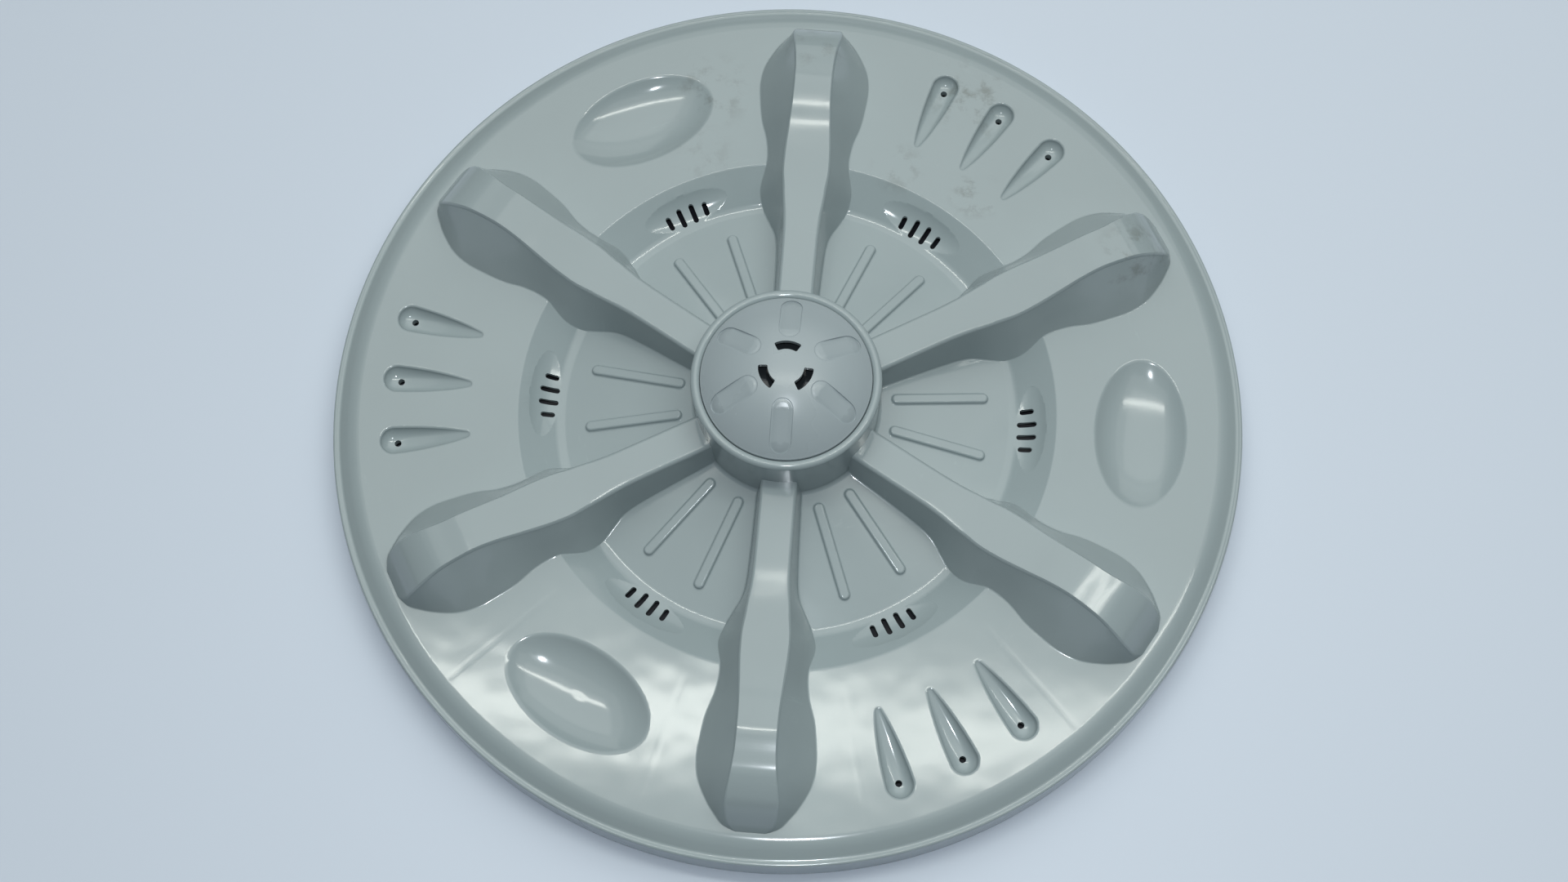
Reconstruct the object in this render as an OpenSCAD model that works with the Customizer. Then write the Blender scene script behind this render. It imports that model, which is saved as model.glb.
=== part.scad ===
// Pulsator of a top-loading washing machine: a moulded wash plate with six
// drafted vanes, a raised hub under a domed cap, and the splined insert that
// the drive shaft fits. The plate rests on the foot of its skirt.

/* [Plate] */
// Diameter over the foot of the skirt
plate_d = 406; // [380:2:430]
// Height of the flat ring above the foot of the skirt
ring_z = 22.4; // [20:0.2:28]
// Wall thickness of the moulding
wall = 3; // [2.4:0.2:3.6]
// Width of the rolled rim outside the flat ring
rim_w = 9.4; // [8:0.2:11]
// Depth of the valley between the flat ring and the rim bead
rim_drop = 3.9; // [3:0.1:4.6]
// Height of the rim bead above its valley
rim_bead_h = 1.4; // [0.8:0.1:2]
// Diameter of the lowest circle of the dish
trough_d = 204; // [196:2:210]
// Width of the slope between that circle and the flat ring
step_w = 18; // [14:0.5:22]
// Drop from the flat ring to the lowest circle
trough_drop = 10; // [8:0.2:11]
// Radius of the fillet along the lowest circle
trough_fillet = 8.4; // [5:0.2:10]
// Drop from the flat ring to the dish floor at the hub
floor_rise_drop = -0.9; // [-2:0.1:3]

/* [Vanes] */
// Number of vanes
vane_count = 6; // [4:1:6]
// Width of a vane's top where it leaves the hub
vane_top_w = 15.6; // [14:0.2:18]
// Width of a vane's foot where it leaves the hub
vane_neck_w = 19.2; // [18:0.2:22]
// Height of a vane's top above the flat ring, along its neck
vane_neck_h = 16.9; // [14:0.1:19]
// Height of a vane's crest above the flat ring
vane_crest_h = 24.3; // [21:0.1:28]
// Width of a vane's foot at the shoulder over the trough
vane_shoulder_w = 41.6; // [38:0.2:44]
// Width of a vane's foot at its head
vane_head_w = 49.8; // [44:0.2:54]
// Distance from a vane's outer end to the start of the rim
vane_end_gap = 3.8; // [2:0.2:8]
// Rounding of the edges along a vane's top
vane_edge_r = 1.9; // [1:0.1:2.4]

/* [Hub] */
// Outer diameter of the hub tower
hub_d = 81.4; // [78:0.2:86]
// Height of the crest of the hub's ring bead
hub_top_z = 59.8; // [56:0.2:64]
// Radius of the ring bead round the hub's mouth
hub_bead_r = 2.05; // [1.6:0.05:2.4]
// Distance that the ring bead stands out from the tower's wall
hub_bead_proud = 0.65; // [0.3:0.05:1]
// Depth of the deck that closes the tower, below the bead's crest
deck_drop = 7.8; // [6.8:0.2:10.8]
// Outer diameter of the central boss
boss_d = 30; // [28:0.5:34]
// Height of the top of the boss above the bead's crest
boss_rise = 4.2; // [2.2:0.2:5.2]
// Thickness of the boss's lip that holds the insert from below
boss_lip_t = 4; // [3:0.5:6]
// Diameter of the recess for the screw head
screw_recess_d = 17; // [14:0.5:18]
// Depth of the recess for the screw head
screw_recess_depth = 8; // [6:0.5:9]
// Diameter of the hole for the fixing screw
screw_hole_d = 7; // [5.5:0.1:8]
// Thickness of the webs between the boss and the tower
web_t = 2.5; // [2:0.1:3]

/* [Cap] */
// Radius of the dome
cap_r = 53.3; // [51:0.1:58]
// Wall thickness of the cap
cap_wall = 2.4; // [2:0.1:3]
// Gap between the cap and the mouth of the hub
cap_gap = 0.3; // [0.2:0.05:0.6]
// Inner radius of the three slots
slot_in_r = 7.8; // [7:0.1:9]
// Width of the slots along the radius
slot_w = 4.1; // [3:0.1:5]
// Angle that each slot spans
slot_angle = 60; // [40:5:70]
// Number of slots
slot_count = 3; // [2:1:4]
// Width of the recesses in the dome, one for each vane
recess_w = 9.4; // [8:0.2:10]
// Distance from the slots out to the inner end of a recess
recess_in_gap = 1.7; // [1.2:0.1:2.4]
// Distance from the outer end of a recess to the edge of the cap
recess_out_gap = 1.6; // [1.2:0.1:3]
// Depth of a recess at its inner end
recess_in_depth = 0.2; // [0.1:0.05:0.4]
// Depth of a recess at its outer end
recess_out_depth = 1.1; // [0.8:0.05:1.3]

/* [Floor details] */
// Distance from the hub tower to the inner end of a floor rib
floor_rib_gap = 5.8; // [4:0.2:8]
// Length of a floor rib
floor_rib_len = 44; // [36:0.5:46]
// Width of a floor rib
floor_rib_w = 4.6; // [3.6:0.1:6]
// Height of a floor rib above the floor
floor_rib_h = 1.7; // [1:0.1:2.5]
// Angle between the two floor ribs of a pair
floor_rib_angle = 17.6; // [15:0.2:20]
// Distance from the lowest circle of the dish out to the middle of the slits
slit_out_w = 5.4; // [4:0.2:7]
// Length of the two inner slits of a group
slit_long = 8.6; // [7:0.1:10]
// Length of the two outer slits of a group
slit_short = 6.2; // [5:0.1:7]
// Width of a slit
slit_w = 2.4; // [2:0.1:3]
// Angle between neighbouring slits
slit_pitch = 3.2; // [2.8:0.1:3.6]
// Length of the shallow dish round a group of slits
dish_len = 38.2; // [34:0.2:42]
// Width of that dish, measured along the slope
dish_w = 19; // [17:0.2:21]
// Depth of that dish below the line over its two edges
dish_depth = 2.8; // [2.2:0.1:3.2]
// Rise of that dish's bottom from its middle to its ends
dish_bow = 2.2; // [1.6:0.1:2.6]

/* [Ring details] */
// Distance from an oval hollow to the start of the rim
oval_gap = 16.3; // [14:0.1:19]
// Length of an oval hollow, across the radius
oval_len = 69.2; // [60:0.2:72]
// Width of an oval hollow, along the radius
oval_w = 40.2; // [34:0.2:42]
// Depth of an oval hollow
oval_depth = 5.5; // [3.5:0.1:6.5]
// Distance from the middle of a scoop's drain hole to the start of the rim
drain_gap = 19.6; // [17:0.2:23]
// Diameter of a drain hole
drain_d = 3; // [2:0.1:4]
// Radius of the round end of a scoop, which is also its depth
scoop_r = 5.9; // [5:0.1:6.6]
// Length of a scoop from its tip to its outer end
scoop_len = 39.8; // [34:0.2:42]
// Angle between neighbouring scoops of a group
scoop_pitch = 9.6; // [8.8:0.1:10]

/* [Underside] */
// Thickness of the ribs under the plate
rib_t = 2.5; // [1.8:0.1:3]
// Height of the feet of the ribs above the foot of the skirt
rib_foot_z = 2; // [1:0.5:4]
// Distance from the slope's upper edge out to the ring rib
ring_rib_out_w = 10; // [8:0.5:13]

/* [Insert] */
// Outer diameter of the insert
insert_d = 22; // [20:0.5:24]
// Length of the insert
insert_len = 32; // [26:0.5:34]
// Thickness of the insert's end under the screw
insert_end_t = 4; // [3:0.5:6]
// Diameter of the plain pilot bore at the mouth
pilot_d = 14.4; // [13.6:0.1:16]
// Depth of the pilot bore
pilot_depth = 6; // [4:0.5:8]
// Diameter over the roots of the spline
spline_d = 13; // [12:0.1:13.4]
// Depth of the spline's teeth
spline_tooth_h = 0.9; // [0.6:0.05:1.2]
// Number of spline teeth
spline_teeth = 12; // [8:1:16]
// Clearance round the insert in its pocket
insert_clearance = 0.05; // [0.02:0.01:0.1]

/* [Hidden] */
$fn = 64;
plate_fn = 240;
arc_steps = 6;
overlap = 0.8;
through = 10;

plate_r = plate_d / 2;
trough_r = trough_d / 2;
step_r = trough_r + step_w;
trough_z = ring_z - trough_drop;
hub_r = hub_d / 2;
deck_z = hub_top_z - deck_drop;
boss_top_z = hub_top_z + boss_rise;
floor_hub_z = ring_z - floor_rise_drop;
crease_r = plate_r - rim_w;
valley_z = ring_z - rim_drop;
skirt_draft = 0.5;
hub_fillet = 2;
step_fillet = 2.5;
rim_fillet = 6;
bead_foot_w = 4.5;
bead_crest_w = 3.3;
bead_fillet = 0.9;
bead_edge_r = 1.7;
under_rim_r = 4;
under_edge_r = 2;
vane_end_r = crease_r - vane_end_gap;
sector = 360 / vane_count;
vane_turn = sector / 2;

bead_mid_r = hub_r + hub_bead_proud - hub_bead_r;
tower_in_r = bead_mid_r - hub_bead_r;
cap_edge_r = tower_in_r - cap_gap;
cap_edge_sink = 0.2;
cap_edge_z = hub_top_z - cap_edge_sink;
cap_mid_z = cap_edge_z - sqrt(pow(cap_r, 2) - pow(cap_edge_r, 2));
recess_in_r = slot_in_r + slot_w + recess_in_gap;
recess_out_r = cap_edge_r - recess_out_gap;
recess_len = recess_out_r - recess_in_r;
floor_rib_mid_r = hub_r + floor_rib_gap + floor_rib_len / 2;
slit_mid_r = trough_r + slit_out_w;
oval_mid_r = crease_r - oval_gap - oval_w / 2;
drain_mid_r = crease_r - drain_gap;
ring_rib_r = step_r + ring_rib_out_w;
dish_in_share = 0.49;
dish_out_share = 0.45;
dish_spare_angle = 8;
dish_spare_len = 1.06;
drain_offset = 1.2;
scoop_mid_r = drain_mid_r + drain_offset;
web_foot = 4;
screw_seat_t = 6;
pocket_top_z = boss_top_z - screw_recess_depth - screw_seat_t;
insert_foot_z = pocket_top_z - insert_len;
boss_foot_z = insert_foot_z - boss_lip_t;
spline_tooth_w = 1.7;

// Corners of the moulding's upper face, from the hub wall to the skirt foot
upper_path = [
    [hub_r, hub_top_z - hub_bead_r],
    [hub_r, floor_hub_z],
    [trough_r, trough_z],
    [step_r, ring_z],
    [crease_r, ring_z],
    [plate_r - skirt_draft, valley_z],
    [plate_r, 0],
];
surface_table = [for (i = [1:4]) upper_path[i]];

function unit(v) = v / norm(v);
function left_normal(a, b) = let (d = unit(b - a)) [-d[1], d[0]];

// A path moved sideways by d, with its corners mitred
function shifted(path, d) = [
    for (i = [0:len(path) - 1])
        let (
            before = left_normal(path[max(i - 1, 0)], path[max(i, 1)]),
            after = left_normal(path[min(i, len(path) - 2)], path[min(i + 1, len(path) - 1)])
        )
        path[i] + d * (before + after) / (1 + before * after)
];

// The arc that rounds corner b between a and c with radius r
function corner_arc(a, b, c, r) =
    let (
        u = unit(a - b),
        w = unit(c - b),
        half = acos(max(-1, min(1, u * w))) / 2,
        mid = b + unit(u + w) * r / sin(half),
        start = b + u * r / tan(half) - mid,
        stop = b + w * r / tan(half) - mid,
        turn = 180 - 2 * half,
        side = sign(start[0] * stop[1] - start[1] * stop[0])
    )
    [for (k = [0:arc_steps])
        let (t = side * turn * k / arc_steps)
        mid + [start[0] * cos(t) - start[1] * sin(t), start[0] * sin(t) + start[1] * cos(t)]];

// A path given as [x, y, radius], with each corner that has a radius rounded
function rounded(path) = [
    for (i = [0:len(path) - 1])
        let (p = [path[i][0], path[i][1]], r = path[i][2])
        each (r > 0
            ? corner_arc([path[i - 1][0], path[i - 1][1]], p, [path[i + 1][0], path[i + 1][1]], r)
            : [p])
];

function with_radii(path, radii) = [
    for (i = [0:len(path) - 1]) [path[i][0], path[i][1], radii[i]]
];

// Section of the plate and the tower wall
bead_start = -acos((hub_r - bead_mid_r) / hub_bead_r);
bead_arc = [
    for (k = [0:12])
        let (t = 180 + (bead_start - 180) * k / 12)
        [bead_mid_r + hub_bead_r * cos(t), hub_top_z - hub_bead_r + hub_bead_r * sin(t)]
];
upper_face = rounded([
    [hub_r, (floor_hub_z + deck_z) / 2, 0],
    [hub_r, floor_hub_z, hub_fillet],
    [trough_r, trough_z, trough_fillet],
    [step_r, ring_z, step_fillet],
    [crease_r, ring_z, rim_fillet],
    [plate_r - bead_foot_w, valley_z - 0.2, bead_fillet],
    [plate_r - bead_crest_w, valley_z + rim_bead_h, bead_fillet],
    [plate_r - skirt_draft, valley_z + rim_bead_h - 0.1, bead_edge_r],
    [plate_r, 0, 0],
]);
lower_path = shifted(upper_path, -wall);
lower_curve = rounded(with_radii(lower_path, [0, wall, trough_fillet + wall, 0, under_rim_r, under_edge_r, 0]));
skirt_foot = [lower_path[6][0], 0];
lower_face = [for (i = [1:len(lower_curve) - 2]) lower_curve[i]];

module moulding_shell() {
    rotate_extrude($fn = plate_fn)
        polygon(concat(
            bead_arc,
            upper_face,
            [skirt_foot],
            [for (i = [len(lower_face) - 1:-1:0]) lower_face[i]],
            [[hub_r - wall, deck_z - wall / 2], [tower_in_r, deck_z - wall / 2]]
        ));
}

// Vanes: each row is a place along the vane, half the width of its top, the
// height of its top above the ring and half the width of its foot. Place 0 is
// the hub wall, 1 the step and 2 the outer end.
rise = vane_crest_h - vane_neck_h;
top_w = vane_top_w / 2;
neck_w = vane_neck_w / 2;
shoulder_w = vane_shoulder_w / 2;
head_w = vane_head_w / 2;
vane_rows = [
    [0.00, top_w, vane_neck_h, neck_w],
    [0.45, top_w + 0.2, vane_neck_h, neck_w + 1.2],
    [0.57, top_w + 0.6, vane_neck_h, neck_w + 2.6],
    [0.67, top_w + 1.2, vane_neck_h + 0.1, neck_w + 6.5],
    [0.75, top_w + 1.7, vane_neck_h + 0.3, shoulder_w - 1.7],
    [0.85, top_w + 2.3, vane_neck_h + 1.0, shoulder_w],
    [1.00, top_w + 2.1, vane_neck_h + 0.31 * rise, shoulder_w - 2.3],
    [1.15, top_w + 1.2, vane_neck_h + 0.56 * rise, head_w - 5.4],
    [1.29, top_w + 0.3, vane_neck_h + 0.86 * rise, head_w - 2.4],
    [1.43, top_w, vane_crest_h, head_w - 0.8],
    [1.57, top_w + 0.1, vane_crest_h - 0.3, head_w],
    [1.70, top_w + 1.2, vane_crest_h - 1.9, head_w - 1.5],
    [1.83, top_w + 2.8, vane_crest_h - 6.6, head_w - 6.0],
    [1.90, top_w + 2.9, 0.51 * vane_crest_h, head_w - 9.6],
    [1.96, top_w + 1.8, 0.21 * vane_crest_h, head_w - 13.4],
    [2.00, top_w - 2.0, -0.6, head_w - 19.0],
];
last_row = len(vane_rows) - 1;

function row_slope(i, c) =
    let (a = vane_rows[max(i - 1, 0)], b = vane_rows[min(i + 1, last_row)])
    (b[c] - a[c]) / (b[0] - a[0]);

// Smooth curve through column c of the rows, at place s
function vane_curve(s, c) =
    let (
        i = max([0, for (k = [0:last_row - 1]) if (vane_rows[k][0] <= s) k]),
        a = vane_rows[i],
        b = vane_rows[i + 1],
        h = b[0] - a[0],
        t = (s - a[0]) / h
    )
    (2 * pow(t, 3) - 3 * pow(t, 2) + 1) * a[c]
        + (pow(t, 3) - 2 * pow(t, 2) + t) * h * row_slope(i, c)
        + (3 * pow(t, 2) - 2 * pow(t, 3)) * b[c]
        + (pow(t, 3) - pow(t, 2)) * h * row_slope(i + 1, c);

function place_r(s) =
    s < 1 ? hub_r + s * (step_r - hub_r) : step_r + (s - 1) * (vane_end_r - step_r);

function surface_z(r) = lookup(r, surface_table);
function vane_top_z(s) = ring_z + vane_curve(s, 2);
function vane_foot_z(s) = surface_z(norm([place_r(s), vane_curve(s, 3)]));

// Growth of a vane's half width for each millimetre below its top
function vane_draft(s) =
    (vane_curve(s, 3) - vane_curve(s, 1)) / max(0.5, vane_top_z(s) - vane_foot_z(s));

function vane_half_w(s, z) = vane_curve(s, 1) + (vane_top_z(s) - z) * vane_draft(s);

// Section of a vane at place s, cut across the radius r
function vane_section(s, r) =
    let (
        top = vane_top_z(s),
        foot = vane_foot_z(s) - wall / 2,
        e = min(vane_edge_r, (top - foot) / 3),
        half = [
            [vane_half_w(s, foot), foot],
            [vane_half_w(s, top - e), top - e],
            [vane_half_w(s, top - 0.3 * e) - 0.3 * e, top - 0.3 * e],
            [vane_curve(s, 1) - e, top],
        ]
    )
    [
        for (p = half) [r, -p[0], p[1]],
        for (i = [len(half) - 1:-1:0]) [r, half[i][0], half[i][1]],
    ];

// Section of the hollow under a vane
function hollow_section(s, r) =
    let (
        ds = 0.01,
        run = place_r(min(s + ds, 2)) - place_r(s - ds),
        fall = (vane_top_z(min(s + ds, 2)) - vane_top_z(s - ds)) / run,
        top = vane_top_z(s) - wall * norm([1, fall]),
        foot = surface_z(r) - 2 * wall - 1,
        side = wall * norm([1, vane_draft(s)]),
        wide = vane_half_w(s, foot) - side,
        narrow = vane_half_w(s, top) - side
    )
    [[r, -wide, foot], [r, -narrow, top], [r, narrow, top], [r, wide, foot]];

// Solid through a row of sections that all have the same number of points
module loft(sections) {
    n = len(sections[0]);
    m = len(sections);
    sides = [
        for (i = [0:m - 2], j = [0:n - 1])
            let (
                a = i * n + j,
                b = i * n + (j + 1) % n,
                c = (i + 1) * n + (j + 1) % n,
                d = (i + 1) * n + j
            )
            each [[a, b, c], [a, c, d]]
    ];
    near = [for (j = [n - 1:-1:0]) j];
    far = [for (j = [0:n - 1]) (m - 1) * n + j];
    polyhedron(points = [for (s = sections) each s], faces = concat(sides, [near, far]));
}

outer_places = [
    0, 0.4, 0.54, 0.62, 0.69, 0.76, 0.85, 0.95, 1.07, 1.2, 1.32,
    1.43, 1.54, 1.65, 1.75, 1.83, 1.89, 1.935, 1.97, 2,
];
inner_places = [0.04, 0.5, 0.62, 0.74, 0.85, 1, 1.2, 1.4, 1.57, 1.7, 1.82, 1.92];

module vane_body() {
    sections = [
        vane_section(0, hub_r - 0.6 * wall),
        for (s = outer_places) if (s > 0) vane_section(s, place_r(s)),
    ];
    loft(sections);
}

module vane_hollow() {
    loft([for (s = inner_places) hollow_section(s, place_r(s))]);
}

module round_slot(length, width) {
    translate([-(length - width) / 2, 0]) circle(d = width, $fn = 12);
    translate([(length - width) / 2, 0]) circle(d = width, $fn = 12);
    square([length - width, width], center = true);
}

// A pair of raised ribs on the sloping floor of the dish
module floor_rib() {
    slope = atan((floor_hub_z - trough_z) / (trough_r - hub_r));
    translate([floor_rib_mid_r, 0, surface_z(floor_rib_mid_r)])
        rotate([0, slope, 0])
            translate([0, 0, -wall / 2])
                linear_extrude(wall / 2 + floor_rib_h)
                    round_slot(floor_rib_len, floor_rib_w);
}

// Shallow spindle-shaped dish round a group of slits, hollowed below the
// slope. It is deepest over the slits and fades out towards its ends.
module slit_dish() {
    half_w = dish_w / 2;
    half_len = dish_len / 2;
    section_r = (pow(half_w, 2) + pow(dish_depth, 2)) / (2 * dish_depth);
    bow_r = (pow(half_len, 2) + pow(dish_bow, 2)) / (2 * dish_bow);
    in_r = slit_mid_r - dish_in_share * dish_w;
    out_r = slit_mid_r + dish_out_share * dish_w;
    along = unit([out_r - in_r, surface_z(out_r) - surface_z(in_r)]);
    up = [-along[1], along[0]];
    mid = ([in_r, surface_z(in_r)] + [out_r, surface_z(out_r)]) / 2;
    centre = mid + (section_r - dish_depth) * up;
    half_angle = asin(half_w / section_r) + dish_spare_angle;
    mirror([0, 1, 0])
        loft([
            for (k = [-4:4])
                let (
                    y = dish_spare_len * half_len * k / 4,
                    r = section_r - bow_r + sqrt(pow(bow_r, 2) - pow(y, 2))
                )
                [for (i = [-3:3])
                    let (a = half_angle * i / 3, p = centre + r * (sin(a) * along - cos(a) * up))
                    [p[0], y, p[1]]]
        ]);
}

module slits() {
    for (k = [-1.5:1:1.5])
        rotate([0, 0, k * slit_pitch])
            translate([slit_mid_r, 0, trough_z - wall - through])
                linear_extrude(2 * through + 2 * wall)
                    round_slot(abs(k) < 1 ? slit_long : slit_short, slit_w);
}

// Teardrop trough lying along the radius, with a round outer end, a tip
// towards the axis and a flat top at the height lid above its own axis. Its
// sides have one station per share of the length in places.
module teardrop(r, length, lid, places, arc_step) {
    flank = [for (t = places) [-length * (1 - t), r * (1.18 * t - 0.18 * pow(t, 3))]];
    end = [for (a = [30:20:70]) [r * sin(a), r * cos(a)]];
    loft([
        for (p = concat(flank, end, [[r * 0.995, 0.1 * r]]))
            concat(
                [for (a = [90:-arc_step:-90]) [p[0], p[1] * sin(a), -p[1] * cos(a)]],
                [[p[0], -p[1], lid], [p[0], p[1], lid]]
            )
    ]);
}

module scoop() {
    translate([scoop_mid_r, 0, ring_z])
        teardrop(scoop_r, scoop_len - scoop_r, overlap, [0.03, 0.25, 0.5, 0.75, 1], 30);
    translate([drain_mid_r, 0, ring_z - scoop_r - wall - through])
        cylinder(d = drain_d, h = through + wall + scoop_r, $fn = 24);
}

module scoop_shell() {
    translate([scoop_mid_r, 0, ring_z - 2 * overlap])
        teardrop(scoop_r + wall - 2 * overlap, scoop_len - scoop_r + wall, overlap, [0.1, 0.5, 1], 45);
}

// Solid under an oval outline, from rings given as [share of the half axes, z]
module oval_solid(half_r, half_t, rings, n) {
    m = len(rings);
    points = [
        [0, 0, rings[0][1]],
        for (i = [1:m - 1], j = [0:n - 1])
            let (t = 360 * j / n)
            [half_r * rings[i][0] * cos(t), half_t * rings[i][0] * sin(t), rings[i][1]],
    ];
    faces = [
        for (j = [0:n - 1]) [0, 1 + j, 1 + (j + 1) % n],
        for (i = [0:m - 3], j = [0:n - 1])
            let (p = 1 + i * n, k = (j + 1) % n)
            each [[p + j, p + n + j, p + n + k], [p + j, p + n + k, p + k]],
        [for (j = [n - 1:-1:0]) 1 + (m - 2) * n + j],
    ];
    translate([oval_mid_r, 0, ring_z]) polyhedron(points = points, faces = faces);
}

oval_rings = [0, 0.4, 0.62, 0.78, 0.9];
function oval_bowl_z(q, depth) = -depth * (1 - pow(q, 3.55));

module oval_hollow() {
    bowl = [for (q = oval_rings) [q, oval_bowl_z(q, oval_depth)]];
    oval_solid(oval_w / 2, oval_len / 2, concat(bowl, [[1, 0], [1, overlap]]), 28);
}

module oval_shell() {
    depth = oval_depth + wall;
    bowl = [for (q = oval_rings) [q, oval_bowl_z(q, depth)]];
    oval_solid(oval_w / 2 + wall, oval_len / 2 + wall, concat(bowl, [[1, -overlap]]), 20);
}

// Deck and boss inside the tower
module hub_core() {
    translate([0, 0, deck_z - wall]) cylinder(r = hub_r - wall / 2, h = wall, $fn = plate_fn);
    translate([0, 0, boss_foot_z]) cylinder(d = boss_d, h = boss_top_z - boss_foot_z);
    for (k = [0:vane_count - 1])
        rotate([0, 0, k * sector])
            translate([boss_d / 2 - overlap, -web_t / 2, boss_foot_z + web_foot])
                cube([hub_r - wall / 2 - boss_d / 2 + overlap, web_t, deck_z - wall / 2 - boss_foot_z - web_foot]);
}

module hub_bores() {
    translate([0, 0, insert_foot_z])
        cylinder(d = insert_d + 2 * insert_clearance, h = insert_len);
    translate([0, 0, boss_foot_z - overlap])
        cylinder(d = pilot_d, h = boss_lip_t + 2 * overlap);
    cylinder(d = screw_hole_d, h = boss_top_z);
    translate([0, 0, boss_top_z - screw_recess_depth])
        cylinder(d = screw_recess_d, h = screw_recess_depth + overlap);
}

// Ribs between the hub tower and the skirt, and the ring rib across them
module underside_ribs() {
    body = [for (i = [1:5]) [lower_path[i][0], lower_path[i][1] + overlap]];
    outline = concat([[body[0][0] - overlap, rib_foot_z]], [[body[0][0] - overlap, body[0][1]]], body,
        [[plate_r - wall + overlap, rib_foot_z]]);
    for (k = [0:2 * vane_count - 1])
        rotate([0, 0, (k + 0.5) * sector / 2])
            rotate([90, 0, 0])
                linear_extrude(rib_t, center = true)
                    polygon(outline);
    rotate_extrude($fn = plate_fn)
        translate([ring_rib_r - rib_t / 2, rib_foot_z])
            square([rib_t, ring_z - wall + overlap - rib_foot_z]);
}

module around(count, start = 0) {
    for (k = [0:count - 1]) rotate([0, 0, start + k * 360 / count]) children();
}

// Every other gap between two vanes, from the gap with the number first
module every_other_gap(first) {
    for (k = [first:2:vane_count - 1]) rotate([0, 0, k * sector]) children();
}

module wash_plate() {
    color([0.66, 0.70, 0.70]) {
        difference() {
            union() {
                moulding_shell();
                hub_core();
                around(vane_count, vane_turn) vane_body();
                around(vane_count)
                    for (side = [-1, 1]) rotate([0, 0, side * floor_rib_angle / 2]) floor_rib();
                every_other_gap(1)
                    for (k = [-1:1]) rotate([0, 0, k * scoop_pitch]) scoop_shell();
                every_other_gap(0) oval_shell();
            }
            around(vane_count, vane_turn) vane_hollow();
            around(vane_count) slit_dish();
            around(vane_count) slits();
            every_other_gap(1)
                for (k = [-1:1]) rotate([0, 0, k * scoop_pitch]) scoop();
            every_other_gap(0) oval_hollow();
            hub_bores();
        }
        underside_ribs();
    }
}

module hub_cap() {
    color([0.68, 0.72, 0.73])
        difference() {
            intersection() {
                translate([0, 0, cap_mid_z]) sphere(cap_r, $fn = 180);
                translate([0, 0, deck_z]) cylinder(r = cap_edge_r, h = cap_r, $fn = plate_fn);
            }
            intersection() {
                translate([0, 0, cap_mid_z]) sphere(cap_r - cap_wall, $fn = 180);
                cylinder(r = cap_edge_r - cap_wall, h = cap_mid_z + cap_r, $fn = plate_fn);
            }
            around(slot_count, vane_turn + sector)
                rotate([0, 0, -slot_angle / 2])
                    rotate_extrude(angle = slot_angle, $fn = 96)
                        translate([slot_in_r, deck_z]) square([slot_w, cap_r]);
            around(vane_count, vane_turn) cap_recess();
        }
}

// Recess that deepens from its inner end to its outer end
module cap_recess() {
    z_in = cap_mid_z + sqrt(pow(cap_r, 2) - pow(recess_in_r, 2)) - recess_in_depth;
    z_out = cap_mid_z + sqrt(pow(cap_r, 2) - pow(recess_out_r, 2)) - recess_out_depth;
    mid_z = (pow(recess_in_r, 2) + pow(z_in, 2) - pow(recess_out_r, 2) - pow(z_out, 2)) / (2 * (z_in - z_out));
    difference() {
        translate([recess_in_r + recess_len / 2, 0, deck_z])
            linear_extrude(cap_r) round_slot(recess_len, recess_w);
        translate([0, 0, mid_z]) sphere(norm([recess_in_r, z_in - mid_z]), $fn = 180);
    }
}

module spline_insert() {
    color([0.72, 0.70, 0.66])
        translate([0, 0, insert_foot_z])
            difference() {
                cylinder(d = insert_d, h = insert_len);
                translate([0, 0, -overlap]) cylinder(d = pilot_d, h = pilot_depth + overlap);
                difference() {
                    cylinder(d = spline_d, h = insert_len - insert_end_t);
                    around(spline_teeth)
                        translate([spline_d / 2 - spline_tooth_h, -spline_tooth_w / 2, -overlap])
                            cube([spline_tooth_h + overlap, spline_tooth_w, insert_len]);
                }
                cylinder(d = screw_hole_d, h = insert_len + overlap);
            }
}

wash_plate();
hub_cap();
spline_insert();
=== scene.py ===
import math

import bmesh
import bpy
import numpy as np
from mathutils import Matrix, Vector


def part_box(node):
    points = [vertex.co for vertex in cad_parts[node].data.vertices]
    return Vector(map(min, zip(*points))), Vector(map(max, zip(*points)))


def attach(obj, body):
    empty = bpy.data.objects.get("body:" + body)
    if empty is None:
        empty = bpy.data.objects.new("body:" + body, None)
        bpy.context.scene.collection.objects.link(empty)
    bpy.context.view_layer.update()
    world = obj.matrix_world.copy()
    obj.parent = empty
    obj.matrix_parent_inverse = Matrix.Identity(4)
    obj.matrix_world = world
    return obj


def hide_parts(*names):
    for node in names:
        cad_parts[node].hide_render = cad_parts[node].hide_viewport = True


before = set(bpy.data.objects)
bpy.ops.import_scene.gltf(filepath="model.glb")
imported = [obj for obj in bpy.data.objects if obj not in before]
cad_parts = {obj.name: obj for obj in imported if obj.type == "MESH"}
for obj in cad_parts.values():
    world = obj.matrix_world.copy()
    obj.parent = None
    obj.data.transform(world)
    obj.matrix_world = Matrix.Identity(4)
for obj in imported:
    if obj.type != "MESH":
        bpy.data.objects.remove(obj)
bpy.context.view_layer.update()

MM = 0.001
plate_low, plate_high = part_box("wash_plate")
cap_low, cap_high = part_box("hub_cap")
insert_low, insert_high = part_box("spline_insert")
PLATE_R = plate_high.x / MM
CAP_EDGE_R = cap_high.x / MM
CAP_TOP_Z = cap_high.z / MM
DECK_Z = cap_low.z / MM

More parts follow.
